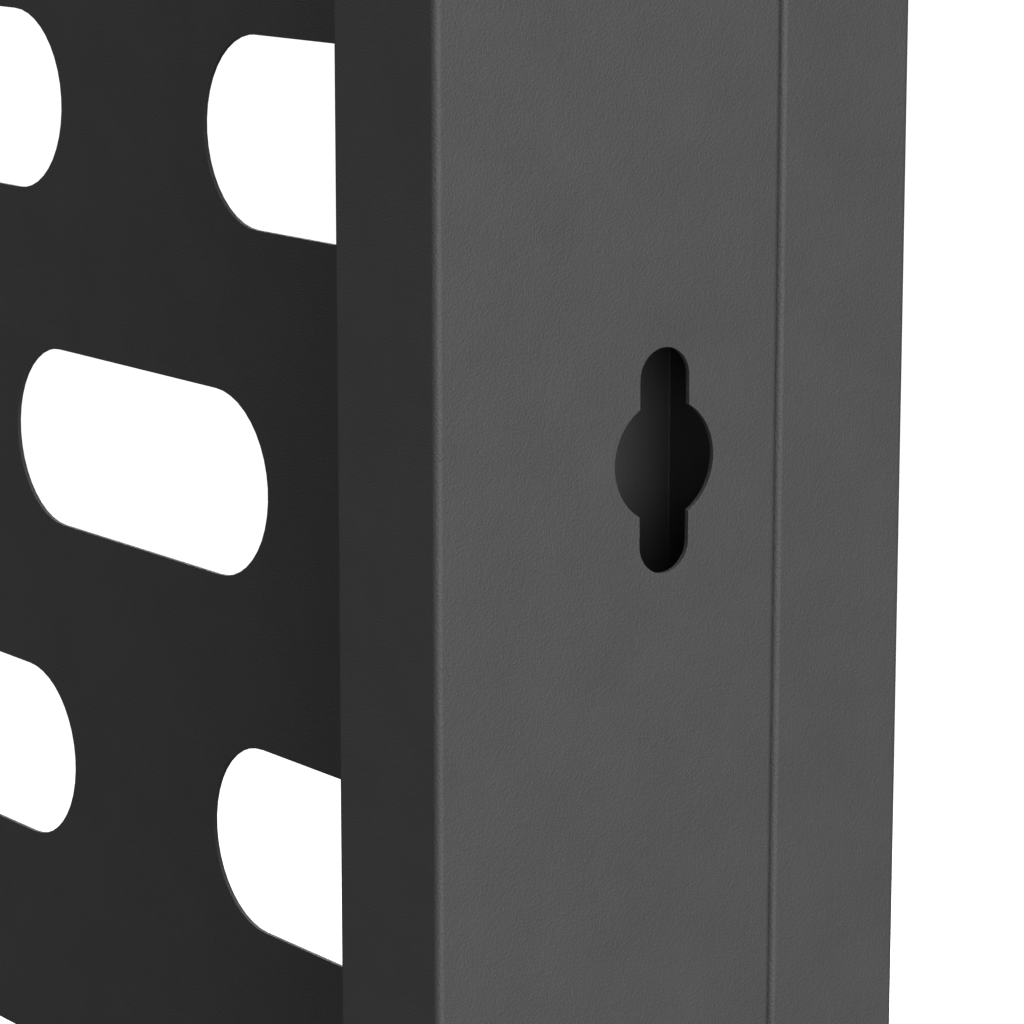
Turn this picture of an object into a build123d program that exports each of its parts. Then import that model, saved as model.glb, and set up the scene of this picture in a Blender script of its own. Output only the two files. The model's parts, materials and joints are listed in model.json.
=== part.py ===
"""Single-sided gondola shelving unit: one bay, in millimetres, +Z up.

Two keyholed uprights stand on base legs in front of a welded rear frame that carries three slotted sheets.
Shelves hang in the keyholes on side brackets, and a base deck lies between the legs.
X runs across the bay, goods are taken from the -Y side, and the origin is on the floor under the middle.
While a piece is made, y = 0 is the uprights' front face; each piece is shifted to the origin when written.
"""

import os

from build123d import *

# Overall sizes
bay_centres = 900.0  # between the centre lines of the two uprights
base_reach = 400.0  # base leg in front of the uprights
panel_count = 3  # slotted sheets, one above the other
bands_per_panel = 2  # bands of slot rows in one sheet
rows_per_band = 3
row_pitch = 75.0  # slot row to slot row
band_gap = 15.0  # more plain sheet between one band and the next
foot_height = 25.0  # floor to the underside of legs, uprights and stiles
bottom_rail_height = 45.0  # floor to the middle of the lowest rear rail

# Uprights and rear frame tubes
upright_width = 30.0
upright_depth = 72.0
tube_wall = 1.0
tube_radius = 1.3
least_radius = 0.05  # inside corner where a wall is thicker than its outside radius
rear_tube_depth = 29.0
rail_height = 30.0

# Double-ended keyholes, through both side walls of each upright
keyhole_circle = 21.2
keyhole_slot = 10.5
keyhole_height = 39.0
keyhole_setback = 47.2  # upright's front face to the keyhole centre
keyhole_top_drop = 101.0  # upright's top to the highest keyhole centre
keyhole_row_step = 2  # slot rows from one keyhole to the next
keyhole_floor_gap = 40.0  # base leg's top to the lowest keyhole centre, at least

# Slotted sheets
sheet_gauge = 0.9
slot_length = 106.0
slot_height = 40.0
slot_pitch = 165.7
slot_edge_margin = 40.0  # plain sheet beside the longest row, at least
sheet_flange = 12.0  # folded back along the stiles, between the rails
sheet_gap = 1.0  # sheet to upright, and sheet to sheet

# Base
leg_height = 60.0
leg_wall = 1.5
angle_leg = 27.0  # base angle, down the inside of the leg
angle_ledge = 20.0  # base angle, inwards under the deck
angle_gauge = 2.0
angle_bolt_margin = 3.0  # leg's underside to the band that the angle's bolts are centred in
kick_setback = 25.0
kick_gauge = 1.0
kick_return = 22.0
kick_floor_gap = 8.0
kick_deck_gap = 3.0

# Deck and shelves
shelf_depth = 300.0
tray_height = 30.0
tray_gauge = 1.0
tray_lip = 10.0
fold_radius = 2.0
tray_back_gap = 1.0  # tray to the screw heads on the slotted sheet
tray_side_gap = 0.3  # shelf tray to bracket
deck_side_gap = 1.0  # base deck to base leg
stiffener_width = 40.0
stiffener_height = 16.0
stiffener_flange = 10.0
deck_stiffeners = 2
strip_depth = 5.0
strip_wall = 1.2
strip_return = 4.0

# Shelf brackets and their headed studs
shelf_keyholes = (6, 4, 2)  # upper stud's keyhole, counted down from the highest one
bracket_gauge = 2.5
bracket_upright_gap = 0.3
bracket_back_margin = 13.0  # keyhole centre to the bracket's back edge
bracket_nose_height = 36.0
bracket_nose_setback = 5.0
bracket_corner = 6.0
bracket_foot = 20.0  # plate below the lower stud
ledge_width = 18.0
ledge_gauge = 2.0
stud_drop = 45.0  # bracket's top edge to the upper stud
stud_side_clearance = 0.25  # shank to the side of the keyhole's slot
stud_seat_clearance = 0.1
stud_head_radius = 8.5
stud_head_height = 2.5
stud_spigot_radius = 3.5
stud_tail_radius = 5.5
stud_tail_height = 1.0

# Levelling feet
foot_pad_radius = 15.0
foot_pad_rim = 4.0
foot_pad_neck_radius = 9.0
foot_pad_height = 12.0
stem_radius = 5.0
stem_length = 55.0
stem_socket = 6.0  # stem sunk in the pad
thread_clearance = 0.05
lock_nut_flats = 17.0
lock_nut_height = 6.0
weld_nut_height = 8.0
base_plate_gauge = 4.0
front_foot_inset = 55.0  # leg's front end to the foot
rear_foot_setback = 36.0  # upright's front face to the foot

# Fasteners
bolt_radius = 4.0
bolt_head_radius = 7.0
bolt_head_height = 4.4
bolt_clearance = 0.1
insert_radius = 5.5
insert_length = 14.0
insert_clearance = 0.05
screw_radius = 2.5
screw_head_radius = 4.75
screw_head_height = 2.6
screw_length = 12.0
screw_hole_clearance = 0.25
screw_pilot_clearance = 0.05
screws_per_line = 5
screw_end_margin = 25.0
screw_sheet_edge = 7.5  # screw line to the edge of the sheet
frame_bolt_offset = 45.0  # rail's centre line to the bolt beside it
leg_bolt_front = 25.0  # base angle's front end to its first bolt
leg_bolt_back = 40.0  # upright's front face to the leg's last bolt
upright_bolt_spread = 22.0  # rear foot to the upright's bolts, each side

# Plastic caps
cap_top = 3.0
cap_plug = 10.0
cap_wall = 1.5
cap_clearance = 0.1
cap_edge_radius = 1.0

# Places that follow from the sizes
upright_x = bay_centres / 2
outer_x = upright_x + upright_width / 2
inner_x = upright_x - upright_width / 2
band_height = rows_per_band * row_pitch + band_gap
panel_height = bands_per_panel * band_height
rail_heights = [bottom_rail_height + i * panel_height for i in range(panel_count + 1)]
upright_top = rail_heights[-1] + rail_height / 2
leg_top = foot_height + leg_height
rear_face = upright_depth + rear_tube_depth
sheet_front = upright_depth - sheet_gauge
sheet_width = 2 * (inner_x - sheet_gap)
keyhole_pitch = keyhole_row_step * row_pitch
highest_keyhole = upright_top - keyhole_top_drop
keyhole_count = int((highest_keyhole - leg_top - keyhole_floor_gap) // keyhole_pitch) + 1
keyhole_heights = [highest_keyhole - i * keyhole_pitch for i in range(keyhole_count)]
stud_radius = keyhole_slot / 2 - stud_side_clearance
stud_seat = (keyhole_height - keyhole_slot) / 2 + keyhole_slot / 2 - stud_radius - stud_seat_clearance
ledge_top = leg_top - tray_height
tray_back = sheet_front - screw_head_height - tray_back_gap
shelf_front = tray_back - shelf_depth
plate_x = inner_x - bracket_upright_gap
bracket_inside = plate_x - bracket_gauge
bracket_nose = shelf_front + bracket_nose_setback
shelf_tops = [keyhole_heights[i] - stud_seat + stud_drop for i in shelf_keyholes]
kick_front = kick_setback - base_reach
kick_top = ledge_top - kick_deck_gap
angle_front = kick_front + kick_return + sheet_gap
angle_back = tray_back
bolt_height = (foot_height + angle_bolt_margin + ledge_top - angle_gauge) / 2
leg_bolts_y = [angle_front + leg_bolt_front, -base_reach / 2, -leg_bolt_back]
upright_bolts_y = [rear_foot_setback - upright_bolt_spread, rear_foot_setback + upright_bolt_spread]
feet_y = {"front": front_foot_inset - base_reach, "rear": rear_foot_setback}
frame_bolt_heights = [z + frame_bolt_offset for z in rail_heights[:-1]]
frame_bolt_heights += [rail_heights[-1] - frame_bolt_offset]
front_reach = base_reach + strip_depth
back_reach = rear_face + bolt_head_height
shift = Pos(0, (front_reach - back_reach) / 2, 0)
sides = {"left": -1, "right": 1}

os.makedirs("parts", exist_ok=True)


def write(name, shape):
    """Writes one node at its place in the unit."""
    export_step(shift * shape, f"parts/{name}.step")


def write_group(name, shapes):
    """Writes separate solids as one node."""
    write(name, Compound(children=[Part() + shape for shape in shapes]))


def block(x0, x1, y0, y1, z0, z1):
    """A box between two corners, in either order."""
    size = Box(abs(x1 - x0), abs(y1 - y0), abs(z1 - z0))
    return Pos((x0 + x1) / 2, (y0 + y1) / 2, (z0 + z1) / 2) * size


def rod(radius, start, end):
    """A round bar between two points."""
    along = Vector(*end) - Vector(*start)
    return extrude(Plane(origin=start, z_dir=along) * Circle(radius), along.length)


def on_side(side, shape):
    """A right-hand piece, mirrored when it belongs on the left."""
    return shape if side > 0 else mirror(shape, about=Plane.YZ)


def tube(size_x, size_y, length, wall, radius):
    """A closed rectangular tube that stands on z = 0."""
    inner_radius = max(radius - wall, least_radius)
    outside = extrude(RectangleRounded(size_x, size_y, radius), length)
    inside = extrude(RectangleRounded(size_x - 2 * wall, size_y - 2 * wall, inner_radius), length)
    return outside - inside


def cap(size_x, size_y, wall):
    """A push-in tube cap: its plate lies on z = 0 and its hollow plug hangs below."""
    plug_x = size_x - 2 * wall - 2 * cap_clearance
    plug_y = size_y - 2 * wall - 2 * cap_clearance
    plate = extrude(RectangleRounded(size_x, size_y, tube_radius), cap_top)
    plate = fillet(plate.edges().group_by(Axis.Z)[-1], min(cap_edge_radius, cap_top / 2))
    plug = Pos(0, 0, -cap_plug) * (
        Box(plug_x, plug_y, cap_plug, align=(Align.CENTER, Align.CENTER, Align.MIN))
        - Box(
            plug_x - 2 * cap_wall,
            plug_y - 2 * cap_wall,
            cap_plug,
            align=(Align.CENTER, Align.CENTER, Align.MIN),
        )
    )
    return plate + plug


def keyholes():
    """One cutter for every keyhole, long enough to pass through both uprights."""
    outline = Sketch()
    for z in keyhole_heights:
        outline += Pos(keyhole_setback, z) * Circle(keyhole_circle / 2)
        outline += Pos(keyhole_setback, z) * SlotOverall(keyhole_height, keyhole_slot, rotation=90)
    return extrude(Plane.YZ * outline, outer_x + upright_width, both=True)


def base_bolt_places(y_places):
    """The base angle's bolts, on the inner face of the right-hand leg or upright."""
    return [(inner_x, y, bolt_height) for y in y_places]


def make_uprights():
    upright = Pos(upright_x, upright_depth / 2, foot_height) * tube(
        upright_width, upright_depth, upright_top - foot_height, tube_wall, tube_radius
    )
    upright -= keyholes()
    hole = insert_radius + insert_clearance
    for x, y, z in base_bolt_places(upright_bolts_y):
        upright -= rod(hole, (x - tube_wall, y, z), (x + 2 * tube_wall, y, z))
    for z in frame_bolt_heights:
        upright -= rod(hole, (upright_x, upright_depth - 2 * tube_wall, z), (upright_x, rear_face, z))
    cap_place = Pos(upright_x, upright_depth / 2, upright_top)
    upright_cap = cap_place * cap(upright_width, upright_depth, tube_wall)
    for name, side in sides.items():
        write(f"upright_{name}", on_side(side, upright))
        write(f"upright_cap_{name}", on_side(side, upright_cap))
    gap = tube_wall + cap_clearance
    plate = block(
        inner_x + gap,
        outer_x - gap,
        gap,
        upright_depth - gap,
        foot_height,
        foot_height + base_plate_gauge,
    )
    bore = stem_radius + bolt_clearance
    plate -= rod(bore, (upright_x, rear_foot_setback, 0), (upright_x, rear_foot_setback, leg_top))
    write_group("upright_base_plates", [on_side(side, plate) for side in sides.values()])


def make_rear_frame():
    stile = Pos(upright_x, upright_depth + rear_tube_depth / 2, foot_height) * tube(
        upright_width, rear_tube_depth, upright_top - foot_height, tube_wall, tube_radius
    )
    for z in frame_bolt_heights:
        stile -= rod(bolt_radius + bolt_clearance, (upright_x, 0, z), (upright_x, 2 * rear_face, z))
    caps = []
    for name, side in sides.items():
        write(f"rear_stile_{name}", on_side(side, stile))
        end_cap = cap(upright_width, rear_tube_depth, tube_wall)
        middle = Pos(side * upright_x, upright_depth + rear_tube_depth / 2, 0)
        caps.append(middle * Pos(0, 0, upright_top) * end_cap)
        caps.append(middle * Pos(0, 0, foot_height) * Rot(180, 0, 0) * end_cap)
    write_group("stile_caps", caps)
    names = ["bottom"] + [f"middle_{i}" for i in range(1, panel_count)] + ["top"]
    pilot = screw_radius + screw_pilot_clearance
    for name, rail_z in zip(names, rail_heights):
        bar = Rot(0, 90, 0) * tube(rail_height, rear_tube_depth, 2 * inner_x, tube_wall, tube_radius)
        rail = Pos(-inner_x, upright_depth + rear_tube_depth / 2, rail_z) * bar
        for x, z in screw_places():
            if abs(z - rail_z) < rail_height / 2:
                rail -= rod(pilot, (x, upright_depth - 1, z), (x, upright_depth + 2 * tube_wall, z))
        write(f"rear_rail_{name}", rail)


def sheet_edges(index):
    """The bottom and top edges of one sheet: flush with the end rails, half a gap from the next sheet."""
    bottom = rail_heights[index] + sheet_gap / 2
    top = rail_heights[index + 1] - sheet_gap / 2
    if index == 0:
        bottom = rail_heights[0] - rail_height / 2 + sheet_gap
    if index == panel_count - 1:
        top = rail_heights[-1] + rail_height / 2 - sheet_gap
    return bottom, top


def screw_places():
    """The x and z of every screw that holds a sheet to a rail."""
    reach = sheet_width / 2 - screw_end_margin
    places = []
    for index in range(panel_count):
        bottom, top = sheet_edges(index)
        for z in (bottom + screw_sheet_edge, top - screw_sheet_edge):
            for i in range(screws_per_line):
                places.append((reach * (2 * i / (screws_per_line - 1) - 1), z))
    return places


def slot_rows(index):
    """The number of slots and the height of every row in one sheet, whose long and short rows take turns."""
    long_row = int((sheet_width - 2 * slot_edge_margin - slot_length) // slot_pitch) + 1
    rows = []
    for band in range(bands_per_panel):
        low = rail_heights[index] + band * band_height + band_gap / 2
        for row in range(rows_per_band):
            rows.append((long_row - row % 2, low + (row + 0.5) * row_pitch))
    return rows


def make_panels():
    names = ["bottom", "middle", "top"] if panel_count == 3 else [str(i + 1) for i in range(panel_count)]
    for index, name in enumerate(names):
        bottom, top = sheet_edges(index)
        outline = Pos(0, (bottom + top) / 2) * Rectangle(sheet_width, top - bottom)
        slots = Sketch()
        for count, z in slot_rows(index):
            for i in range(count):
                x = (i - (count - 1) / 2) * slot_pitch
                slots += Pos(x, z) * SlotOverall(slot_length, slot_height)
        for x, z in screw_places():
            if bottom < z < top:
                slots += Pos(x, z) * Circle(screw_radius + screw_hole_clearance)
        sheet = extrude(Plane.XZ.offset(-upright_depth) * (outline - slots), sheet_gauge)
        low = rail_heights[index] + rail_height / 2 + sheet_gap
        high = rail_heights[index + 1] - rail_height / 2 - sheet_gap
        back = upright_depth + sheet_flange
        for side in sides.values():
            edge = side * sheet_width / 2
            sheet += block(edge, edge - side * sheet_gauge, sheet_front, back, low, high)
        write(f"back_panel_{name}", sheet)


def make_base():
    leg_bar = Rot(90, 0, 0) * tube(upright_width, leg_height, base_reach - cap_top, leg_wall, tube_radius)
    leg = Pos(upright_x, 0, foot_height + leg_height / 2) * leg_bar
    foot_y = feet_y["front"]
    bore = stem_radius + bolt_clearance
    leg -= rod(bore, (upright_x, foot_y, 0), (upright_x, foot_y, foot_height + 2 * leg_wall))
    for x, y, z in base_bolt_places(leg_bolts_y):
        leg -= rod(insert_radius + insert_clearance, (x - leg_wall, y, z), (x + 2 * leg_wall, y, z))
    for x, y, z in kick_screw_places():
        leg -= rod(screw_radius + screw_pilot_clearance, (x - leg_wall, y, z), (x + 2 * leg_wall, y, z))
    end = Pos(upright_x, cap_top - base_reach, foot_height + leg_height / 2)
    leg_cap = end * Rot(90, 0, 0) * cap(upright_width, leg_height, leg_wall)
    foot = block(
        inner_x,
        inner_x - angle_gauge,
        angle_front,
        angle_back,
        ledge_top - angle_leg,
        ledge_top,
    )
    ledge = block(
        inner_x,
        inner_x - angle_ledge,
        angle_front,
        angle_back,
        ledge_top - angle_gauge,
        ledge_top,
    )
    angle = foot + ledge
    hole = bolt_radius + bolt_clearance
    for x, y, z in base_bolt_places(leg_bolts_y + upright_bolts_y):
        angle -= rod(hole, (x, y, z), (x - 2 * angle_gauge, y, z))
    for name, side in sides.items():
        write(f"base_leg_{name}", on_side(side, leg))
        write(f"base_angle_{name}", on_side(side, angle))
    write_group("leg_caps", [on_side(side, leg_cap) for side in sides.values()])


def kick_screw_places():
    """The kick plate's screws, on the inner face of the right-hand leg."""
    z = (foot_height + kick_top) / 2
    return [(inner_x, kick_front + kick_return / 2, z)]


def make_kick_plate():
    half = inner_x - deck_side_gap / 2
    bottom = kick_floor_gap
    plate = block(-half, half, kick_front, kick_front + kick_gauge, bottom, kick_top)
    for z in (bottom, kick_top - kick_gauge):
        plate += block(-half, half, kick_front, kick_front + kick_return / 2, z, z + kick_gauge)
    for side in sides.values():
        edge = side * half
        plate += block(edge, edge - side * kick_gauge, kick_front, kick_front + kick_return, bottom, kick_top)
    corners = plate.edges().filter_by(Axis.Z).group_by(Axis.Y)[0]
    plate = fillet(corners, kick_gauge / 2)
    hole = screw_radius + screw_hole_clearance
    for x, y, z in kick_screw_places():
        plate -= rod(hole, (-x, y, z), (x, y, z))
    write("kick_plate", plate)


def folded_box(width, depth, height, radius):
    """A box under z = 0 with rounded top and upright edges."""
    box = Pos(0, 0, -height / 2) * Box(width, depth, height)
    edges = box.edges().filter_by(Axis.Z) + box.edges().group_by(Axis.Z)[-1]
    return fillet(edges, radius)


def tray(width, depth, front, top):
    """A sheet tray, open below, with folded sides and inward lips."""
    inside_radius = max(fold_radius - tray_gauge, least_radius)
    inner_width = width - 2 * tray_gauge
    inner_depth = depth - 2 * tray_gauge
    shell = folded_box(width, depth, tray_height, fold_radius)
    hollow = folded_box(inner_width, inner_depth, tray_height - 2 * tray_gauge, inside_radius)
    mouth = Box(width - 2 * tray_lip, depth - 2 * tray_lip, 4 * tray_gauge)
    shell -= Pos(0, 0, -tray_gauge) * hollow
    shell -= Pos(0, 0, -tray_height) * mouth
    return Pos(0, front + depth / 2, top) * shell


def stiffener(width, y, top):
    """A top-hat channel across the underside of a tray, flanges up."""
    half = width / 2 - fold_radius - tray_gauge
    under = top - tray_gauge
    wide = stiffener_width / 2
    low = under - stiffener_height
    hat = block(-half, half, y - wide, y + wide, low, low + tray_gauge)
    for way in (-1, 1):
        wall = y + way * wide
        hat += block(-half, half, wall, wall - way * tray_gauge, low, under)
        rim = wall + way * stiffener_flange
        hat += block(-half, half, wall, rim, under - tray_gauge, under)
    return hat


def ticket_strip(width, front, top):
    """An extruded price channel on the front of a tray: a back, two rims and their returns."""
    half = width / 2 - fold_radius
    low = top - tray_height
    face = front - strip_depth
    strip = block(-half, half, front, front - strip_wall, low, top - fold_radius)
    for z, way in ((low, 1), (top - fold_radius, -1)):
        strip += block(-half, half, front, face, z, z + way * strip_wall)
        strip += block(-half, half, face, face + strip_wall, z, z + way * strip_return)
    return strip


def make_deck():
    width = 2 * (inner_x - deck_side_gap)
    depth = tray_back + base_reach
    write("base_deck", tray(width, depth, -base_reach, leg_top))
    spacing = depth / (deck_stiffeners + 1)
    places = [spacing * (i + 1) - base_reach for i in range(deck_stiffeners)]
    write_group("deck_stiffeners", [stiffener(width, y, leg_top) for y in places])
    write("deck_ticket_strip", ticket_strip(width, -base_reach, leg_top))


def bracket(top):
    """A right-hand side bracket: a tapered plate with an inward ledge that the tray stands on."""
    low = top - stud_drop - keyhole_pitch - bracket_foot
    back = keyhole_setback + bracket_back_margin
    outline = Polygon(
        (back, top),
        (back, low),
        (keyhole_setback - 2 * bracket_back_margin, low),
        (bracket_nose, top - bracket_nose_height),
        (bracket_nose, top),
        align=None,
    )
    outline = fillet(outline.vertices(), bracket_corner)
    plate = extrude(Plane.YZ.offset(plate_x) * outline, bracket_gauge, dir=(-1, 0, 0))
    ledge_z = top - tray_height
    plate += block(
        bracket_inside,
        bracket_inside - ledge_width,
        bracket_nose + bracket_corner,
        back - bracket_corner,
        ledge_z,
        ledge_z - ledge_gauge,
    )
    for _, z in studs_at(top):
        hole_start = (plate_x, keyhole_setback, z)
        plate -= rod(stud_spigot_radius, hole_start, (bracket_inside, keyhole_setback, z))
    return plate


def studs_at(top):
    """The places of a bracket's two studs, upper first."""
    upper = top - stud_drop
    return [(keyhole_setback, upper), (keyhole_setback, upper - keyhole_pitch)]


def stud(y, z):
    """A headed stud: its head is inside the upright, its tail is riveted over the bracket."""
    neck = inner_x + tube_wall + bracket_upright_gap
    piece = rod(stud_head_radius, (neck, y, z), (neck + stud_head_height, y, z))
    piece += rod(stud_radius, (neck, y, z), (plate_x, y, z))
    piece += rod(stud_spigot_radius, (plate_x, y, z), (bracket_inside, y, z))
    tail = rod(stud_tail_radius, (bracket_inside, y, z), (bracket_inside - stud_tail_height, y, z))
    return piece + fillet(tail.edges().group_by(Axis.X)[0], stud_tail_height / 2)


def make_shelves():
    width = 2 * (bracket_inside - tray_side_gap)
    for number, top in enumerate(shelf_tops, start=1):
        write(f"shelf_{number}_tray", tray(width, shelf_depth, shelf_front, top))
        write(f"shelf_{number}_stiffener", stiffener(width, shelf_front + shelf_depth / 2, top))
        write(f"shelf_{number}_ticket_strip", ticket_strip(width, shelf_front, top))
        plate = bracket(top)
        pair = [stud(y, z) for y, z in studs_at(top)]
        for name, side in sides.items():
            write(f"shelf_{number}_bracket_{name}", on_side(side, plate))
            write_group(f"shelf_{number}_studs_{name}", [on_side(side, piece) for piece in pair])


def nut(x, y, low, height):
    """A hexagon nut on a levelling stem."""
    hexagon = RegularPolygon(lock_nut_flats / 2, 6, major_radius=False)
    return Pos(x, y, low) * extrude(hexagon - Circle(stem_radius + thread_clearance), height)


def foot_pad(x, y):
    """A moulded pad: a rim on the floor and a cone up to the stem."""
    outline = Polyline(
        (0, 0),
        (foot_pad_radius, 0),
        (foot_pad_radius, foot_pad_rim),
        (foot_pad_neck_radius, foot_pad_height),
        (0, foot_pad_height),
        close=True,
    )
    pad = revolve(Plane.XZ * make_face(outline), Axis.Z)
    socket = rod(stem_radius, (0, 0, foot_pad_height - stem_socket), (0, 0, 2 * foot_pad_height))
    return Pos(x, y, 0) * (pad - socket)


def make_feet():
    lock_nuts = []
    weld_nuts = []
    nut_floor = {"front": foot_height + leg_wall, "rear": foot_height + base_plate_gauge}
    for end, y in feet_y.items():
        for name, side in sides.items():
            x = side * upright_x
            low = foot_pad_height - stem_socket
            write(f"foot_pad_{end}_{name}", foot_pad(x, y))
            write(f"foot_stem_{end}_{name}", rod(stem_radius, (x, y, low), (x, y, low + stem_length)))
            lock_nuts.append(nut(x, y, foot_height - lock_nut_height, lock_nut_height))
            weld_nuts.append(nut(x, y, nut_floor[end], weld_nut_height))
    write_group("lock_nuts", lock_nuts)
    write_group("weld_nuts", weld_nuts)


def fastener(radius, head_radius, head_height, length, seat, way):
    """A button-headed bolt or screw: the head stands on the seat and the shank runs the given way."""
    start = Vector(*seat)
    along = Vector(*way)
    head = rod(head_radius, seat, tuple(start - along * head_height))
    outer = head.edges().sort_by(lambda edge: (edge.center() - start).dot(along))[0]
    head = fillet(outer, head_height / 2)
    return head + rod(radius, seat, tuple(start + along * length))


def insert(seat, way):
    """A threaded insert set in a tube wall, for a bolt that runs the given way."""
    end = tuple(Vector(*seat) + Vector(*way) * insert_length)
    return rod(insert_radius, seat, end) - rod(bolt_radius + thread_clearance, seat, end)


def make_fasteners():
    base_bolts = []
    frame_bolts = []
    inserts = []
    screws = []
    for side in sides.values():
        outward = (side, 0, 0)
        for x, y, z in base_bolt_places(leg_bolts_y + upright_bolts_y):
            seat = (side * (x - angle_gauge), y, z)
            length = angle_gauge + insert_length
            base_bolts.append(
                fastener(bolt_radius, bolt_head_radius, bolt_head_height, length, seat, outward)
            )
            inserts.append(insert((side * x, y, z), outward))
        for z in frame_bolt_heights:
            seat = (side * upright_x, rear_face, z)
            length = rear_tube_depth + insert_length
            frame_bolts.append(
                fastener(bolt_radius, bolt_head_radius, bolt_head_height, length, seat, (0, -1, 0))
            )
            inserts.append(insert((side * upright_x, upright_depth, z), (0, -1, 0)))
        for x, y, z in kick_screw_places():
            seat = (side * (inner_x - deck_side_gap / 2 - kick_gauge), y, z)
            screws.append(
                fastener(screw_radius, screw_head_radius, screw_head_height, screw_length, seat, outward)
            )
    for x, z in screw_places():
        seat = (x, sheet_front, z)
        screws.append(
            fastener(screw_radius, screw_head_radius, screw_head_height, screw_length, seat, (0, 1, 0))
        )
    write_group("base_bolts", base_bolts)
    write_group("frame_bolts", frame_bolts)
    write_group("threaded_inserts", inserts)
    write_group("sheet_screws", screws)


make_uprights()
make_rear_frame()
make_panels()
make_base()
make_kick_plate()
make_deck()
make_shelves()
make_feet()
make_fasteners()
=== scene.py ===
"""Gondola shelving unit: finishes, fine shapes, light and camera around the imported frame.

Sizes in the property groups are in millimetres, and everything that is built from them is in metres.
Every piece lies where its CAD node lies, so a piece's own coordinates are those of the whole unit.
"""

import json
import math
import random

import bmesh
import bpy
from bpy.props import FloatProperty, FloatVectorProperty, IntProperty, PointerProperty
from mathutils import Matrix, Vector


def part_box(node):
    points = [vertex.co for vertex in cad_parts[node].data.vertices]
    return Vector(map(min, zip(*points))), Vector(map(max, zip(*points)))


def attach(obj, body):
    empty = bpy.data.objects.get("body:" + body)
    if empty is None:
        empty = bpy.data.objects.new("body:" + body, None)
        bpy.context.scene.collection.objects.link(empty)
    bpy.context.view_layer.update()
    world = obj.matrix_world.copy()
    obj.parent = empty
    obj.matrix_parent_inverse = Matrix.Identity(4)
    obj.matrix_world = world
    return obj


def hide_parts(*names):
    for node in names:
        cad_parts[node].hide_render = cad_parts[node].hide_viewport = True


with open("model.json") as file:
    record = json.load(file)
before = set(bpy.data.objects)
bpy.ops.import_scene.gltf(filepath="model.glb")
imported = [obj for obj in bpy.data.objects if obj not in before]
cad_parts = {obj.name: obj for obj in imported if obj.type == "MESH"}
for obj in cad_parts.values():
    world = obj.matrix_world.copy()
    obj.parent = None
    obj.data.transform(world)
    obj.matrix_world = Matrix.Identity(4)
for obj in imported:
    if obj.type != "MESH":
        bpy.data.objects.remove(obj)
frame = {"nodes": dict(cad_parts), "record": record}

bl_info = {
    "name": "Gondola Shelving Unit",
    "version": (1, 0, 0),
    "blender": (4, 5, 0),
    "location": "3D View > Sidebar > Gondola",
    "description": "Finishes one bay of gondola shelving: powder coat, bright parts, mouldings and stage",
    "category": "Object",
}

MM = 0.001
SAME_POINT = 0.001 * MM
FLAT_ANGLE = math.radians(0.3)
SHARP_ANGLE = math.radians(30)
MIX_A, MIX_B, MIX_RESULT = 6, 7, 2  # the colour sockets of a Mix node
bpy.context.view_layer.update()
RECORD = frame["record"]
BODY_OF = {node: body for body, nodes in RECORD["behaviour"]["bodies"].items() for node in nodes}
MOUNT_AT = {mount["name"]: Vector(mount["pos_m"]) for mount in RECORD["mounts"]}
SIDES = {"left": -1, "right": 1}
SHELVES = sorted({node.split("_")[1] for node in BODY_OF if node.startswith("shelf_")})


def linear(colour):
    """Turns an sRGB hex colour into the linear RGB that shaders take."""
    shares = [int(colour[i : i + 2], 16) / 255 for i in (1, 3, 5)]
    return [s / 12.92 if s <= 0.04045 else ((s + 0.055) / 1.055) ** 2.4 for s in shares]


def colour_property(name, description, colour):
    """A colour that a user would change, given as sRGB hex."""
    return FloatVectorProperty(
        name=name, description=description, default=linear(colour), subtype="COLOR", size=3, min=0, max=1
    )


def size_property(name, description, size):
    """A size that a user would change, in millimetres."""
    return FloatProperty(name=name, description=description, default=size, min=0, precision=3)


class FinishSettings(bpy.types.PropertyGroup):
    """Colours and texture sizes of the finishes."""

    coat: colour_property("Powder coat", "Colour of the powder coat on every sheet and tube", "#3b3b3b")
    moulding: colour_property("Mouldings", "Colour of the plastic tube caps", "#262626")
    foot: colour_property("Foot pads", "Colour of the levelling feet", "#2c2c2c")
    strip: colour_property("Ticket strips", "Colour of the extruded ticket strips", "#5c5c5d")
    zinc: colour_property("Zinc plate", "Colour of the bright zinc plate", "#c9cac6")
    black_zinc: colour_property("Black plate", "Colour of the blackened fasteners", "#2a2a2b")
    coat_grain: size_property("Coat grain", "Width of one grain of the fine powder texture", 0.35)
    coat_peel: size_property("Orange peel", "Width of one wave of the coat's orange peel", 2.5)
    coat_blotch: size_property("Coat blotch", "Width of the faint uneven patches in the coat", 14.0)


class EdgeSettings(bpy.types.PropertyGroup):
    """Radii that break the sharp edges."""

    tube: size_property("Tube ends", "Radius on cut tube edges and keyholes", 0.08)
    sheet: size_property("Sheet edges", "Radius on punched and folded sheet", 0.08)
    plate: size_property("Plate edges", "Radius on brackets, angles and base plates", 0.3)
    moulding: size_property("Moulding edges", "Radius on moulded and extruded plastic", 0.3)
    turning: size_property("Turned edges", "Radius on studs and other turned parts", 0.2)


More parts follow.
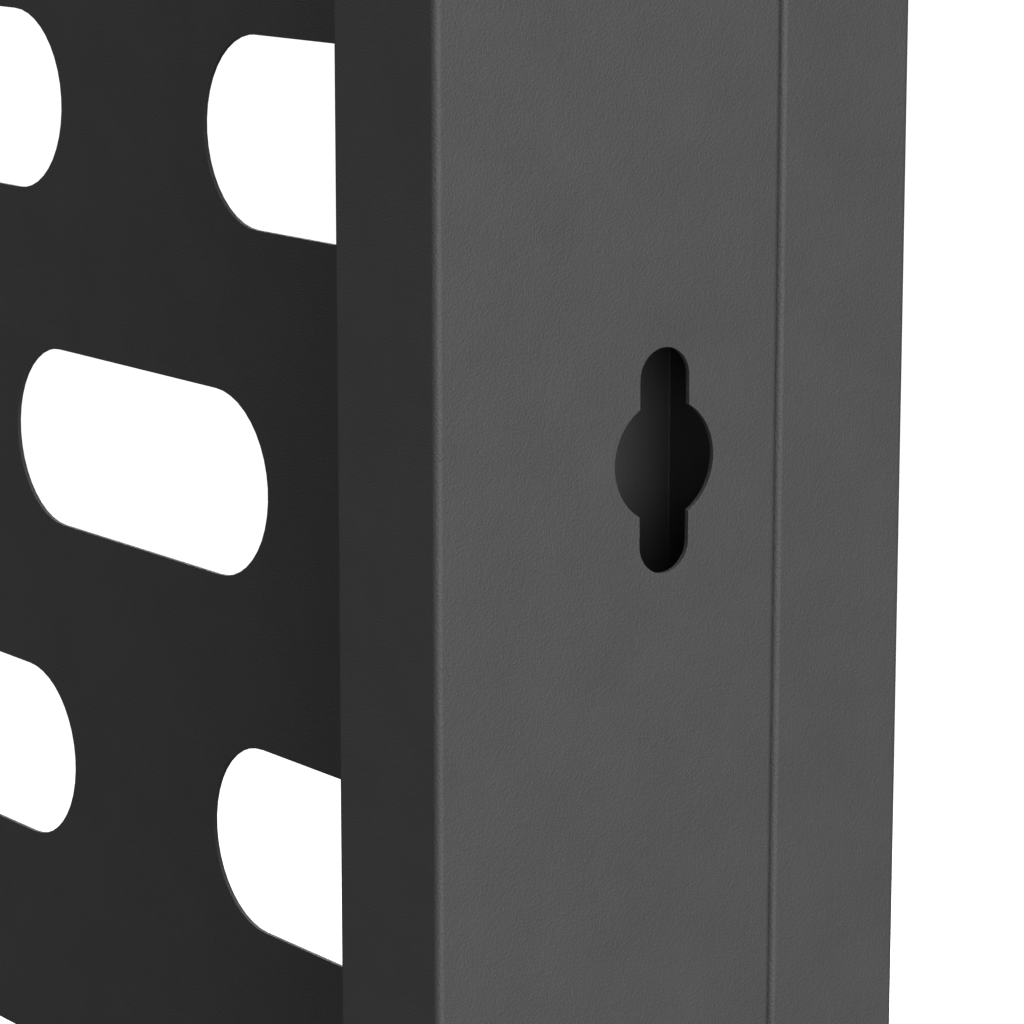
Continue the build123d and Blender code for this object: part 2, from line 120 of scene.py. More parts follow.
class SteelworkSettings(bpy.types.PropertyGroup):
    """Sizes of threads, sockets and welds."""

    stem: size_property("Stem", "Diameter of the levelling stems", 10.0)
    stem_pitch: size_property("Stem pitch", "Pitch of the levelling stem's thread", 1.5)
    thread_depth: size_property("Thread depth", "Depth of the levelling stem's thread", 0.9)
    bolt_shank: size_property("Bolt shank", "Diameter of the frame and base bolts", 8.0)
    bolt_socket: size_property("Bolt socket", "Size across the flats of the bolts' sockets", 5.0)
    screw_shank: size_property("Screw shank", "Diameter of the sheet screws", 5.0)
    screw_socket: size_property("Screw socket", "Size across the flats of the screws' sockets", 3.0)
    nut_flats: size_property("Nut flats", "Size across the flats of the lock and weld nuts", 17.0)
    weld_leg: size_property("Weld leg", "Leg of the fillet welds in the rear frame", 2.4)
    weld_ripple: size_property("Weld ripple", "Length of one ripple along a weld", 1.6)
    pad_neck: size_property("Pad neck", "Diameter of a foot pad's neck", 18.0)
    pad_rim: size_property("Pad rim", "Height of a foot pad's grip rim", 4.0)
    pad_socket: size_property("Pad socket", "Depth of the stem in its foot pad", 6.0)
    pad_flutes: IntProperty(name="Pad flutes", description="Grip flutes round a foot pad", default=24, min=6)


class StageSettings(bpy.types.PropertyGroup):
    """Camera and studio light."""

    lens: FloatProperty(name="Lens", description="Focal length of the camera", default=140.74, unit="CAMERA")
    heading: FloatProperty(
        name="Heading", description="Camera heading, left of +Y", default=math.radians(54.07), subtype="ANGLE"
    )
    pitch: FloatProperty(
        name="Pitch", description="Camera tilt below level", default=math.radians(11.03), subtype="ANGLE"
    )
    stand: FloatVectorProperty(
        name="Camera stand",
        description="Camera's place from the highest right-hand keyhole",
        default=(0.5263, -0.4134, 0.1215),
        subtype="TRANSLATION",
        unit="LENGTH",
    )
    key: FloatProperty(name="Key light", description="Power of the soft light on the right", default=125.0)
    fill: FloatProperty(name="Fill light", description="Power of the soft light in front", default=9.0)
    back: FloatProperty(name="Back light", description="Power of the soft light behind", default=110.0)
    overhead: FloatProperty(name="Overhead light", description="Strength of the light above", default=3.6)
    overhead_spread: FloatProperty(
        name="Overhead spread",
        description="How wide the light above is",
        default=math.radians(40),
        subtype="ANGLE",
    )
    room: FloatProperty(
        name="Room light", description="Strength of the light from all round", default=0.09, precision=3
    )
    floor: colour_property("Floor", "Colour of the pale floor", "#f2f2f2")


GROUPS = {
    "gondola_finish": FinishSettings,
    "gondola_edge": EdgeSettings,
    "gondola_steelwork": SteelworkSettings,
    "gondola_stage": StageSettings,
}


def add(tree, kind, inputs=None, **settings):
    """Adds one node: settings are its own properties, inputs are socket values or sockets that feed them."""
    node = tree.nodes.new(kind)
    for name, value in settings.items():
        setattr(node, name, value)
    for name, value in (inputs or {}).items():
        if isinstance(value, bpy.types.NodeSocket):
            tree.links.new(value, node.inputs[name])
        else:
            node.inputs[name].default_value = value
    return node


def blank_material(name, roughness, ior=1.5, metallic=0.0):
    """A material with its surface shader alone, and the socket of the unit's own coordinates."""
    material = bpy.data.materials.new(name)
    material.use_nodes = True
    tree = material.node_tree
    tree.nodes.clear()
    surface = {"Roughness": roughness, "IOR": ior, "Metallic": metallic}
    shader = add(tree, "ShaderNodeBsdfPrincipled", surface)
    add(tree, "ShaderNodeOutputMaterial", {"Surface": shader.outputs["BSDF"]})
    place = add(tree, "ShaderNodeTexCoord").outputs["Object"]
    return material, tree, shader, place


def rgba(colour, share=1.0):
    """A linear colour, made lighter or darker, as a colour socket takes it."""
    return [channel * share for channel in colour] + [1.0]


GRAIN_DEPTH = 0.125 * MM
PEEL_DEPTH = 0.04 * MM


def powder_coat():
    """Polyester powder on steel, sprayed and stoved.

    The grains melt into a fine sandy skin with faint orange peel, so highlights are wide and broken up,
    and the film is a little thicker in places, which shows as very faint patches.
    The real grains are finer and shallower: they are drawn coarse enough to show.
    """
    settings = bpy.context.scene.gondola_finish
    material, tree, shader, place = blank_material("Fine texture black powder coat", roughness=0.62)
    grain = add(
        tree,
        "ShaderNodeTexNoise",
        {"Vector": place, "Scale": 1 / (settings.coat_grain * MM), "Detail": 1.0, "Roughness": 0.5},
    )
    peel = add(
        tree,
        "ShaderNodeTexNoise",
        {"Vector": place, "Scale": 1 / (settings.coat_peel * MM), "Detail": 1.0, "Roughness": 0.4},
    )
    blotch = add(
        tree,
        "ShaderNodeTexNoise",
        {"Vector": place, "Scale": 1 / (settings.coat_blotch * MM), "Detail": 3.0, "Roughness": 0.6},
    )
    tint = add(
        tree,
        "ShaderNodeMix",
        {0: blotch.outputs["Fac"], MIX_A: rgba(settings.coat, 0.85), MIX_B: rgba(settings.coat, 1.15)},
        data_type="RGBA",
    )
    waves = add(
        tree,
        "ShaderNodeBump",
        {"Height": peel.outputs["Fac"], "Distance": PEEL_DEPTH, "Strength": 1.0},
    )
    sand = add(
        tree,
        "ShaderNodeBump",
        {
            "Height": grain.outputs["Fac"],
            "Distance": GRAIN_DEPTH,
            "Strength": 1.0,
            "Normal": waves.outputs["Normal"],
        },
    )
    tree.links.new(tint.outputs[MIX_RESULT], shader.inputs["Base Color"])
    tree.links.new(sand.outputs["Normal"], shader.inputs["Normal"])
    return material


FLOW_MARK = 12 * MM
SPARK_DEPTH = 0.015 * MM
SHINE_CHANGE = 0.06  # how far flow marks move the roughness


def moulded_plastic(name, colour, roughness, spark):
    """Injection-moulded plastic from a spark-eroded tool.

    The tool's even matt texture takes the gloss off, and flow marks leave very slight changes of shine.
    """
    material, tree, shader, place = blank_material(name, roughness=roughness, ior=1.49)
    texture = add(
        tree,
        "ShaderNodeTexNoise",
        {"Vector": place, "Scale": 1 / (spark * MM), "Detail": 2.0, "Roughness": 0.6},
    )
    flow = add(
        tree,
        "ShaderNodeTexNoise",
        {"Vector": place, "Scale": 1 / FLOW_MARK, "Detail": 2.0, "Distortion": 1.5},
    )
    shine = add(
        tree,
        "ShaderNodeMapRange",
        {
            "Value": flow.outputs["Fac"],
            "To Min": roughness - SHINE_CHANGE,
            "To Max": roughness + SHINE_CHANGE,
        },
    )
    tint = add(
        tree,
        "ShaderNodeMix",
        {0: flow.outputs["Fac"], MIX_A: rgba(colour, 0.92), MIX_B: rgba(colour, 1.08)},
        data_type="RGBA",
    )
    bump = add(tree, "ShaderNodeBump", {"Height": texture.outputs["Fac"], "Distance": SPARK_DEPTH})
    tree.links.new(tint.outputs[MIX_RESULT], shader.inputs["Base Color"])
    tree.links.new(shine.outputs["Result"], shader.inputs["Roughness"])
    tree.links.new(bump.outputs["Normal"], shader.inputs["Normal"])
    return material


def abs_moulding():
    """ABS tube caps."""
    settings = bpy.context.scene.gondola_finish
    return moulded_plastic("Spark textured black ABS", settings.moulding, 0.45, 0.3)


def polyamide_moulding():
    """Polyamide levelling feet, which are duller than ABS."""
    settings = bpy.context.scene.gondola_finish
    return moulded_plastic("Moulded black polyamide", settings.foot, 0.55, 0.4)


DIE_LINE = 0.6 * MM  # coarser than the real lines, so that they show
DIE_LINE_DEPTH = 0.01 * MM


def pvc_extrusion():
    """PVC strip, extruded.

    The die draws long fine lines along the strip, so it is satin across and smoother along.
    """
    settings = bpy.context.scene.gondola_finish
    material, tree, shader, place = blank_material("Extruded grey PVC", roughness=0.38, ior=1.53)
    drawn = add(tree, "ShaderNodeMapping", {"Vector": place, "Scale": (0.01, 1.0, 1.0)})
    lines = add(
        tree,
        "ShaderNodeTexNoise",
        {"Vector": drawn.outputs["Vector"], "Scale": 1 / DIE_LINE, "Detail": 2.0},
    )
    shine = add(
        tree, "ShaderNodeMapRange", {"Value": lines.outputs["Fac"], "To Min": 0.32, "To Max": 0.44}
    )
    tint = add(
        tree,
        "ShaderNodeMix",
        {0: lines.outputs["Fac"], MIX_A: rgba(settings.strip, 0.94), MIX_B: rgba(settings.strip, 1.06)},
        data_type="RGBA",
    )
    bump = add(tree, "ShaderNodeBump", {"Height": lines.outputs["Fac"], "Distance": DIE_LINE_DEPTH})
    tree.links.new(tint.outputs[MIX_RESULT], shader.inputs["Base Color"])
    tree.links.new(shine.outputs["Result"], shader.inputs["Roughness"])
    tree.links.new(bump.outputs["Normal"], shader.inputs["Normal"])
    return material


PLATE_CLOUD = 6 * MM
PLATE_GRAIN = 0.5 * MM  # coarser than the real plate's grain, so that it shows
PLATE_GRAIN_DEPTH = 0.004 * MM


def plated_steel(name, colour, metallic, roughness):
    """Zinc electroplate on steel.

    The plate is a fine-grained metal whose passivate clouds it unevenly, so it gleams softly in patches.
    """
    material, tree, shader, place = blank_material(name, roughness=roughness, metallic=metallic)
    cloud = add(
        tree,
        "ShaderNodeTexNoise",
        {"Vector": place, "Scale": 1 / PLATE_CLOUD, "Detail": 4.0, "Roughness": 0.6, "Distortion": 0.6},
    )
    grain = add(tree, "ShaderNodeTexNoise", {"Vector": place, "Scale": 1 / PLATE_GRAIN, "Detail": 2.0})
    shine = add(
        tree,
        "ShaderNodeMapRange",
        {"Value": cloud.outputs["Fac"], "To Min": roughness - 0.1, "To Max": roughness + 0.1},
    )
    tint = add(
        tree,
        "ShaderNodeMix",
        {0: cloud.outputs["Fac"], MIX_A: rgba(colour, 0.85), MIX_B: rgba(colour, 1.1)},
        data_type="RGBA",
    )
    bump = add(tree, "ShaderNodeBump", {"Height": grain.outputs["Fac"], "Distance": PLATE_GRAIN_DEPTH})
    tree.links.new(tint.outputs[MIX_RESULT], shader.inputs["Base Color"])
    tree.links.new(shine.outputs["Result"], shader.inputs["Roughness"])
    tree.links.new(bump.outputs["Normal"], shader.inputs["Normal"])
    return material


def bright_zinc():
    """Bright zinc plate on studs, stems, nuts and inserts."""
    return plated_steel("Bright zinc plated steel", bpy.context.scene.gondola_finish.zinc, 1.0, 0.32)


def black_zinc():
    """Black passivated zinc on bolts and screws, which hides most of the metal."""
    colour = bpy.context.scene.gondola_finish.black_zinc
    return plated_steel("Black zinc plated steel", colour, 0.4, 0.42)


FINISHES = {
    "powder_coat": powder_coat,
    "black_plastic": abs_moulding,
    "foot_plastic": polyamide_moulding,
    "strip_plastic": pvc_extrusion,
    "zinc_steel": bright_zinc,
    "black_steel": black_zinc,
}
made_finishes = {}


def finish(slot):
    """The finish of a material slot, made when it is first asked for."""
    if slot not in made_finishes:
        made_finishes[slot] = FINISHES[slot]()
    return made_finishes[slot]


def put(name, shape, body, slot, stands_for=()):
    """Makes a piece of a finished shape, gives it its finish and fixes it to its body."""
    for face in shape.faces:
        face.smooth = True
    bmesh.ops.recalc_face_normals(shape, faces=shape.faces)
    mesh = bpy.data.meshes.new(name)
    shape.to_mesh(mesh)
    shape.free()
    mesh.materials.append(finish(slot))
    piece = bpy.data.objects.new(name, mesh)
    bpy.context.scene.collection.objects.link(piece)
    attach(piece, body)
    if stands_for:
        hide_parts(*stands_for)
    return piece


def break_edges(piece, radius):
    """Rounds a piece's sharp edges to a small radius and keeps its flats flat in the light."""
    bevel = piece.modifiers.new("Broken edges", "BEVEL")
    bevel.width = radius * MM
    bevel.segments = 2
    bevel.limit_method = "ANGLE"
    bevel.angle_limit = SHARP_ANGLE
    bevel.use_clamp_overlap = False
    shading = piece.modifiers.new("Flat flats", "WEIGHTED_NORMAL")
    shading.keep_sharp = True


def formed(node, form, radius, slot="powder_coat"):
    """Makes a piece of a CAD node's own shape, whose sharp edges are broken."""
    shape = bmesh.new()
    shape.from_mesh(frame["nodes"][node].data)
    bmesh.ops.remove_doubles(shape, verts=shape.verts, dist=SAME_POINT)
    bmesh.ops.dissolve_limit(shape, angle_limit=FLAT_ANGLE, verts=shape.verts, edges=shape.edges)
    piece = put(f"{node}_{form}", shape, BODY_OF[node], slot, [node])
    break_edges(piece, radius)
    return piece


def solid_boxes(node):
    """The lowest and highest corners of each separate solid in a CAD node."""
    shape = bmesh.new()
    shape.from_mesh(frame["nodes"][node].data)
    bmesh.ops.remove_doubles(shape, verts=shape.verts, dist=SAME_POINT)
    unseen = set(shape.verts)
    boxes = []
    while unseen:
        found = [unseen.pop()]
        corners = []
        while found:
            vertex = found.pop()
            corners.append(vertex.co.copy())
            for edge in vertex.link_edges:
                other = edge.other_vert(vertex)
                if other in unseen:
                    unseen.remove(other)
                    found.append(other)
        boxes.append([Vector(pick(c[i] for c in corners) for i in range(3)) for pick in (min, max)])
    shape.free()
    return sorted(boxes, key=lambda box: tuple(box[0]))


def hexagon(flats):
    """The radius of a hexagon at any angle round it, from its size across the flats."""
    sector = math.pi / 3
    return lambda angle: flats / 2 / math.cos(angle % sector - sector / 2)


def turn(shape, matrix, rings, sides, bored=False):
    """Adds a turned shape: rings are heights with radii, or with a rule for the radius at each angle.

    It is closed over its first and last rings, or with bored set from its last ring back to its first.
    """
    loops = []
    for height, radius in rings:
        loop = []
        for i in range(sides):
            angle = math.tau * i / sides
            reach = radius(angle) if callable(radius) else radius
            corner = Vector((reach * math.cos(angle), reach * math.sin(angle), height))
            loop.append(shape.verts.new(matrix @ corner))
        loops.append(loop)
    pairs = list(zip(loops, loops[1:]))
    if bored:
        pairs.append((loops[-1], loops[0]))
    else:
        shape.faces.new(loops[0])
        shape.faces.new(loops[-1])
    for low, high in pairs:
        for i in range(sides):
            j = (i + 1) % sides
            shape.faces.new((low[i], low[j], high[j], high[i]))


PAD_EDGE = 0.8 * MM
FLUTE_DEPTH = 0.35 * MM


def make_pad(node, settings):
    """A foot pad: a fluted grip rim on the floor, a cone up to the neck and a blind socket for the stem."""
    low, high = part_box(node)
    middle = (low + high) / 2
    reach = (high.x - low.x) / 2
    height = high.z - low.z
    edge = PAD_EDGE
    rim = settings.pad_rim * MM
    neck = settings.pad_neck * MM / 2
    bore = settings.stem * MM / 2

    def fluted(angle):
        return reach - FLUTE_DEPTH * (1 - math.cos(settings.pad_flutes * angle))

    rings = [
        (0.0, reach - 2 * edge),
        (edge, fluted),
        (rim - edge, fluted),
        (rim, reach - 2 * edge),
        (height - 2 * edge, neck + edge),
        (height - edge, neck),
        (height, neck - edge),
        (height, bore),
        (height - settings.pad_socket * MM, bore),
    ]
    shape = bmesh.new()
    turn(shape, Matrix.Translation((middle.x, middle.y, low.z)), rings, 6 * settings.pad_flutes)
    piece = put(f"{node}_moulding", shape, BODY_OF[node], "foot_plastic", [node])
    break_edges(piece, bpy.context.scene.gondola_edge.moulding)


THREAD_SIDES = 24
THREAD_END = 1.5  # pitches of the stem's length that the thread's two ends take


def make_stem(node, settings):
    """A levelling stem: one helix of thread from end to end."""
    low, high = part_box(node)
    middle = (low + high) / 2
    pitch = settings.stem_pitch * MM
    crest = settings.stem * MM / 2
    root = crest - settings.thread_depth * MM
    sides = THREAD_SIDES
    steps = int((high.z - low.z - THREAD_END * pitch) / pitch * sides)
    shape = bmesh.new()
    lines = {"root": [], "crest": []}
    for i in range(steps + sides + 1):
        angle = math.tau * i / sides
        way = Vector((math.cos(angle), math.sin(angle), 0))
        start = Vector((middle.x, middle.y, low.z + pitch * i / sides))
        lines["root"].append(shape.verts.new(start + root * way))
        if i <= steps:
            lines["crest"].append(shape.verts.new(start + crest * way + Vector((0, 0, pitch / 2))))
    for i in range(steps):
        a, b = lines["root"][i : i + 2]
        c, d = lines["crest"][i : i + 2]
        e, f = lines["root"][i + sides : i + sides + 2]
        shape.faces.new((a, b, d, c))
        shape.faces.new((c, d, f, e))
    bmesh.ops.holes_fill(shape, edges=[edge for edge in shape.edges if edge.is_boundary])
    put(f"{node}_thread", shape, BODY_OF[node], "zinc_steel", [node])


NUT_CONE = (0.0, 0.35, 0.7, 1.0)  # rings down the chamfer, as shares of its height
NUT_CONE_TOP = 0.96  # radius where the chamfer starts, over half the flats
NUT_CONE_SPREAD = 0.2  # how much that radius grows down the chamfer
NUT_CONE_HEIGHT = 1 / 5  # chamfer over nut height
NUT_MOUTH = 0.5 * MM
NUT_SIDES = 48
NUT_EDGE = 0.15


def make_nuts(node, settings):
    """Hexagon nuts whose corners are chamfered top and bottom, with plain bores."""
    shape = bmesh.new()
    flats = settings.nut_flats * MM
    bore = settings.stem * MM / 2
    corner = hexagon(flats)
    for low, high in solid_boxes(node):
        middle = (low + high) / 2
        height = high.z - low.z
        rings = []
        for share in NUT_CONE:
            cone = flats / 2 * (NUT_CONE_TOP + NUT_CONE_SPREAD * share)
            rule = lambda angle, cone=cone: min(cone, corner(angle))
            rings.append((share * height * NUT_CONE_HEIGHT, rule))
        rings += [(height - at, rule) for at, rule in reversed(rings)]
        rings += [(height, bore + NUT_MOUTH), (height - NUT_MOUTH, bore)]
        rings += [(NUT_MOUTH, bore), (0.0, bore + NUT_MOUTH)]
        turn(shape, Matrix.Translation((middle.x, middle.y, low.z)), rings, NUT_SIDES, bored=True)
    piece = put(f"{node}_turned", shape, BODY_OF[node], "zinc_steel", [node])
    break_edges(piece, NUT_EDGE)


BOLT_RISE = 0.31  # a button head's height over its diameter
SCREW_RISE = 0.274
HEAD_RIM = 0.25  # straight rim over head height
HEAD_ARC = 6  # steps in the dome's quarter arc
SOCKET_MOUTH = 0.62  # radius of the flat round the socket, over the socket's flats
SOCKET_DEPTH = 0.6  # over head height
SOCKET_LIP = 0.25 * MM
TIP_CHAMFER = 0.6 * MM
HEAD_CHAMFER = 0.2 * MM
HEAD_SIDES = 36


def make_button_heads(node, shank, socket, rise):
    """Button-head bolts with hexagon sockets: the head is at the end away from what the shank goes into."""
    shape = bmesh.new()
    pocket = hexagon(socket)
    for low, high in solid_boxes(node):
        size = high - low
        axis = max(range(3), key=lambda i: size[i])
        head = min(size) / 2
        middle = (low + high) / 2
        outward = Vector((0, 0, 0))
        if axis == 0:
            outward.x = -math.copysign(1, middle.x)
        else:
            outward.y = 1 if node == "frame_bolts" else -1
        length = size[axis]
        head_height = rise * 2 * head
        top = middle + outward * length / 2
        dome = head_height - HEAD_RIM * head_height
        mouth = SOCKET_MOUTH * socket
        pocket_floor = -SOCKET_DEPTH * head_height
        rings = [(-length, shank / 2 - TIP_CHAMFER), (TIP_CHAMFER - length, shank / 2)]
        rings += [(-head_height, shank / 2), (-head_height, head - HEAD_CHAMFER)]
        rings.append((HEAD_CHAMFER - head_height, head))
        for i in range(HEAD_ARC + 1):
            swing = math.pi / 2 * i / HEAD_ARC
            rings.append((dome * (math.sin(swing) - 1), mouth + (head - mouth) * math.cos(swing)))
        rings += [(-SOCKET_LIP, pocket), (pocket_floor, pocket), (pocket_floor - socket / 5, socket / 20)]
        stand = Matrix.Translation(top) @ outward.to_track_quat("Z", "Y").to_matrix().to_4x4()
        turn(shape, stand, rings, HEAD_SIDES)
    put(f"{node}_turned", shape, BODY_OF[node], "black_steel", [node])


WELD_SEED = 4
WELD_ARC = 6  # steps across a bead
WELD_BULGE = 1.3  # power that pulls the bead's arc in towards its corner
WELD_RIPPLE_STEPS = 4
WELD_RIPPLE_SHARE = 0.22
WELD_BODY = (0.8, 0.9)  # thinnest and thickest of the bead between ripples, over its leg
WELD_START = 0.35  # how full the bead is at its ends
WELD_BURY = 0.1  # how far it runs into the corner, over its leg


def make_welds(rails, settings):
    """Fillet welds above and below each rail's ends, where the stile's wall runs on past the rail."""
    shape = bmesh.new()
    draw = random.Random(WELD_SEED)
    leg = settings.weld_leg * MM
    ripple = settings.weld_ripple * MM
    post_low, post_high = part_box("rear_stile_right")
    for rail in rails:
        low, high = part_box(rail)
        for side in SIDES.values():
            for z, way in ((low.z, -1), (high.z, 1)):
                if post_low.z < z + way * leg < post_high.z:
                    corner = Vector((side * post_low.x, 0, z))
                    weld_bead(shape, corner, -side, way, low.y + leg, high.y - leg, leg, ripple, draw)
    put("rear_frame_welds", shape, BODY_OF[rails[0]], "powder_coat")


def weld_bead(shape, corner, inward, upward, start, end, leg, ripple, draw):
    """One bead along Y in a corner: its section bulges between the two walls and swells with every ripple."""
    steps = WELD_RIPPLE_STEPS * round((end - start) / ripple)
    swings = [math.pi / 2 * j / WELD_ARC for j in range(WELD_ARC + 1)]
    arc = [(math.cos(swing) ** WELD_BULGE, math.sin(swing) ** WELD_BULGE) for swing in swings]
    loops = []
    for i in range(steps + 1):
        swell = abs(math.sin(math.pi * i / WELD_RIPPLE_STEPS)) * WELD_RIPPLE_SHARE + draw.uniform(*WELD_BODY)
        fade = WELD_START + (1 - WELD_START) * min(i, steps - i) / WELD_RIPPLE_STEPS
        reach = leg * swell * min(1.0, fade)
        y = start + (end - start) * i / steps
        section = [(-WELD_BURY * leg, -WELD_BURY * leg)] + [(reach * x, reach * z) for x, z in arc]
        places = [corner + Vector((inward * x, y - corner.y, upward * z)) for x, z in section]
        loops.append([shape.verts.new(place) for place in places])
    for near, far in zip(loops, loops[1:]):
        for j in range(len(near)):
            k = (j + 1) % len(near)
            shape.faces.new((near[j], near[k], far[k], far[j]))
    shape.faces.new(loops[0])
    shape.faces.new(loops[-1])


FLOOR_RADIUS = 90.0
FLOOR_SIDES = 96
FLOOR_THROW = 0.08  # share of its light that the floor throws back on the unit
KEY_AT, KEY_SIZE = (3.2, -0.35, 1.6), 2.6
FILL_AT, FILL_SIZE = (-1.2, -3.6, 1.35), 2.4
BACK_AT, BACK_SIZE = (-2.6, 3.4, 2.2), 2.4
AIM_AT = (0.3, 0.1, 0.9)


def make_floor(settings):
    """A wide plain floor, pale to the eye, that throws less light back up than it seems to."""
    shape = bmesh.new()
    bmesh.ops.create_circle(shape, cap_ends=True, radius=FLOOR_RADIUS, segments=FLOOR_SIDES)
    mesh = bpy.data.meshes.new("floor")
    shape.to_mesh(mesh)
    shape.free()
    material = bpy.data.materials.new("Pale matt floor")
    material.use_nodes = True
    tree = material.node_tree
    tree.nodes.clear()
    seen = add(tree, "ShaderNodeBsdfDiffuse", {"Color": rgba(settings.floor)})
    thrown = add(tree, "ShaderNodeBsdfDiffuse", {"Color": rgba(settings.floor, FLOOR_THROW)})
    ray = add(tree, "ShaderNodeLightPath")
    surface = add(
        tree,
        "ShaderNodeMixShader",
        {0: ray.outputs["Is Camera Ray"], 1: thrown.outputs["BSDF"], 2: seen.outputs["BSDF"]},
    )
    add(tree, "ShaderNodeOutputMaterial", {"Surface": surface.outputs["Shader"]})
    mesh.materials.append(material)
    floor = bpy.data.objects.new("floor", mesh)
    bpy.context.scene.collection.objects.link(floor)


def make_room(settings):
    """An even room, white to the eye and dim as a light, with one wide light straight overhead."""
    world = bpy.data.worlds.new("Studio")
    world.use_nodes = True
    tree = world.node_tree
    tree.nodes.clear()
    seen = add(tree, "ShaderNodeBackground", {"Color": rgba((1, 1, 1)), "Strength": 1.0})
    thrown = add(tree, "ShaderNodeBackground", {"Color": rgba((1, 1, 1)), "Strength": settings.room})
    ray = add(tree, "ShaderNodeLightPath")
    surface = add(
        tree,
        "ShaderNodeMixShader",
        {0: ray.outputs["Is Camera Ray"], 1: thrown.outputs["Background"], 2: seen.outputs["Background"]},
    )
    add(tree, "ShaderNodeOutputWorld", {"Surface": surface.outputs["Shader"]})
    bpy.context.scene.world = world
    bpy.context.scene.view_settings.view_transform = "Standard"
    sun = bpy.data.lights.new("overhead", "SUN")
    sun.energy = settings.overhead
    sun.angle = settings.overhead_spread
    bpy.context.scene.collection.objects.link(bpy.data.objects.new("overhead", sun))


def make_soft_light(name, at, size, power):
    """A large square softbox that faces the unit."""
    light = bpy.data.lights.new(name, "AREA")
    light.shape = "SQUARE"
    light.size = size
    light.energy = power
    lamp = bpy.data.objects.new(name, light)
    lamp.location = at
    lamp.rotation_euler = (Vector(AIM_AT) - at).to_track_quat("-Z", "Y").to_euler()
    lamp.visible_camera = False
    bpy.context.scene.collection.objects.link(lamp)


def make_camera(settings):
    """The camera stands at eye height close to the highest right-hand keyhole."""
    camera = bpy.data.cameras.new("camera")
    camera.lens = settings.lens
    stand = bpy.data.objects.new("camera", camera)
    stand.location = MOUNT_AT["keyhole_right_1"] + Vector(settings.stand)
    stand.rotation_euler = (math.pi / 2 - settings.pitch, 0, settings.heading)
    bpy.context.scene.collection.objects.link(stand)
    bpy.context.scene.camera = stand


class MakeStage(bpy.types.Operator):
    """Lays the floor, sets up the studio light and stands the camera by the top right-hand corner"""

    bl_idname = "gondola.make_stage"
    bl_label = "Stage"

    def execute(self, context):
        settings = context.scene.gondola_stage
        make_floor(settings)
        make_room(settings)
        for name, at, size, power in (
            ("key", KEY_AT, KEY_SIZE, settings.key),
            ("fill", FILL_AT, FILL_SIZE, settings.fill),
            ("back", BACK_AT, BACK_SIZE, settings.back),
        ):
            make_soft_light(name, Vector(at), size, power)
        make_camera(settings)
        return {"FINISHED"}


class FinishUprights(bpy.types.Operator):
    """Breaks the cut edges of the uprights, stiles and base plates"""

    bl_idname = "gondola.finish_uprights"
    bl_label = "Uprights"

    def execute(self, context):
        edge = context.scene.gondola_edge
        for side in SIDES:
            formed(f"upright_{side}", "tube", edge.tube)
            formed(f"rear_stile_{side}", "tube", edge.tube)
            formed(f"upright_cap_{side}", "moulding", edge.moulding, "black_plastic")
        formed("stile_caps", "mouldings", edge.moulding, "black_plastic")
        formed("upright_base_plates", "plates", edge.plate, "zinc_steel")
        return {"FINISHED"}


class FinishRearFrame(bpy.types.Operator):
    """Breaks the cut edges of the rear rails and lays the weld beads that join them to the stiles"""

    bl_idname = "gondola.finish_rear_frame"
    bl_label = "Rear frame"

    def execute(self, context):
        rails = [node for node in BODY_OF if node.startswith("rear_rail_")]
        for rail in rails:
            formed(rail, "tube", context.scene.gondola_edge.tube)
        make_welds(rails, context.scene.gondola_steelwork)
        return {"FINISHED"}


class FinishBackPanels(bpy.types.Operator):
    """Breaks the punched edges of the slotted sheets"""

    bl_idname = "gondola.finish_back_panels"
    bl_label = "Back panels"

    def execute(self, context):
        for node in [node for node in BODY_OF if node.startswith("back_panel_")]:
            formed(node, "sheet", context.scene.gondola_edge.sheet)
        return {"FINISHED"}


class FinishBase(bpy.types.Operator):
    """Breaks the edges of the base legs, angles, kick plate and deck"""

    bl_idname = "gondola.finish_base"
    bl_label = "Base"

    def execute(self, context):
        edge = context.scene.gondola_edge
        for side in SIDES:
            formed(f"base_leg_{side}", "tube", edge.tube)
            formed(f"base_angle_{side}", "plate", edge.plate)
        formed("kick_plate", "sheet", edge.sheet)
        formed("base_deck", "sheet", edge.sheet)
        formed("deck_stiffeners", "sheets", edge.sheet)
        formed("deck_ticket_strip", "extrusion", edge.moulding, "strip_plastic")
        formed("leg_caps", "mouldings", edge.moulding, "black_plastic")
        return {"FINISHED"}


class FinishShelves(bpy.types.Operator):
    """Breaks the edges of the shelves, their brackets, studs and ticket strips"""

    bl_idname = "gondola.finish_shelves"
    bl_label = "Shelves"

    def execute(self, context):
        edge = context.scene.gondola_edge
        for number in SHELVES:
            formed(f"shelf_{number}_tray", "sheet", edge.sheet)
            formed(f"shelf_{number}_stiffener", "sheet", edge.sheet)
            formed(f"shelf_{number}_ticket_strip", "extrusion", edge.moulding, "strip_plastic")
            for side in SIDES:
                formed(f"shelf_{number}_bracket_{side}", "plate", edge.plate)
                formed(f"shelf_{number}_studs_{side}", "turnings", edge.turning, "zinc_steel")
        return {"FINISHED"}


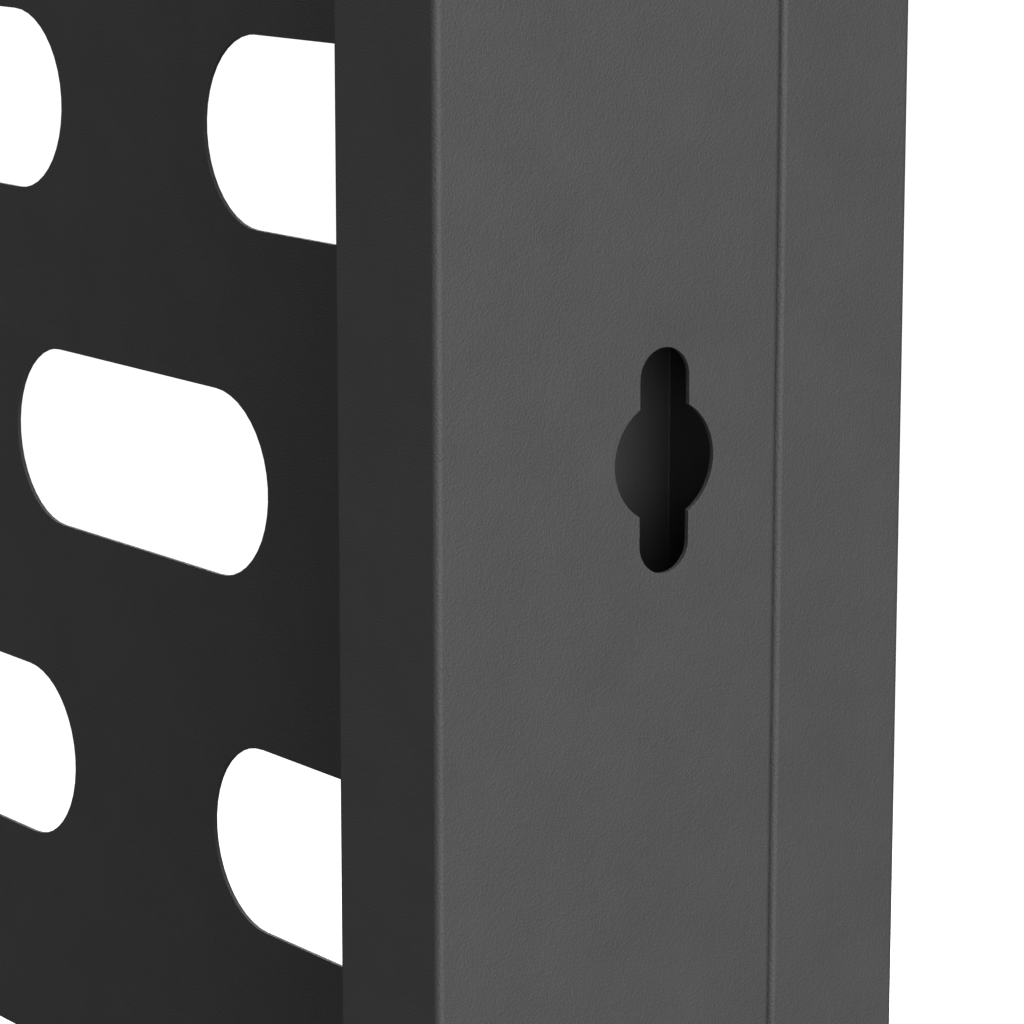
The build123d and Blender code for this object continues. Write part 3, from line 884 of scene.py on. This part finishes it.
class MakeFeet(bpy.types.Operator):
    """Makes the fluted foot pads, threaded stems and chamfered nuts"""

    bl_idname = "gondola.make_feet"
    bl_label = "Levelling feet"

    def execute(self, context):
        settings = context.scene.gondola_steelwork
        for node in BODY_OF:
            if node.startswith("foot_pad_"):
                make_pad(node, settings)
            elif node.startswith("foot_stem_"):
                make_stem(node, settings)
        for node in ("lock_nuts", "weld_nuts"):
            make_nuts(node, settings)
        return {"FINISHED"}


class MakeFasteners(bpy.types.Operator):
    """Makes the socket button-head bolts and screws and the threaded inserts"""

    bl_idname = "gondola.make_fasteners"
    bl_label = "Fasteners"

    def execute(self, context):
        settings = context.scene.gondola_steelwork
        for node in ("base_bolts", "frame_bolts"):
            make_button_heads(node, settings.bolt_shank * MM, settings.bolt_socket * MM, BOLT_RISE)
        make_button_heads("sheet_screws", settings.screw_shank * MM, settings.screw_socket * MM, SCREW_RISE)
        formed("threaded_inserts", "turnings", context.scene.gondola_edge.turning, "zinc_steel")
        return {"FINISHED"}


OPERATORS = (
    MakeStage,
    FinishUprights,
    FinishRearFrame,
    FinishBackPanels,
    FinishBase,
    FinishShelves,
    MakeFeet,
    MakeFasteners,
)


class GondolaPanel(bpy.types.Panel):
    """Settings and steps of the gondola unit"""

    bl_idname = "VIEW3D_PT_gondola"
    bl_label = "Gondola Shelving Unit"
    bl_space_type = "VIEW_3D"
    bl_region_type = "UI"
    bl_category = "Gondola"

    def draw(self, context):
        for operator in OPERATORS:
            self.layout.operator(operator.bl_idname)
        for key in GROUPS:
            group = getattr(context.scene, key)
            box = self.layout.box()
            for name in group.bl_rna.properties.keys():
                if name not in ("rna_type", "name"):
                    box.prop(group, name)


CLASSES = (*GROUPS.values(), *OPERATORS, GondolaPanel)


def register():
    for made in CLASSES:
        bpy.utils.register_class(made)
    for key, group in GROUPS.items():
        setattr(bpy.types.Scene, key, PointerProperty(type=group))


def unregister():
    for key in GROUPS:
        delattr(bpy.types.Scene, key)
    for made in reversed(CLASSES):
        bpy.utils.unregister_class(made)


def main():
    """Builds the whole unit."""
    register()
    for operator in OPERATORS:
        step = operator.bl_idname.split(".")[1]
        getattr(bpy.ops.gondola, step)()


if __name__ == "__main__":
    main()
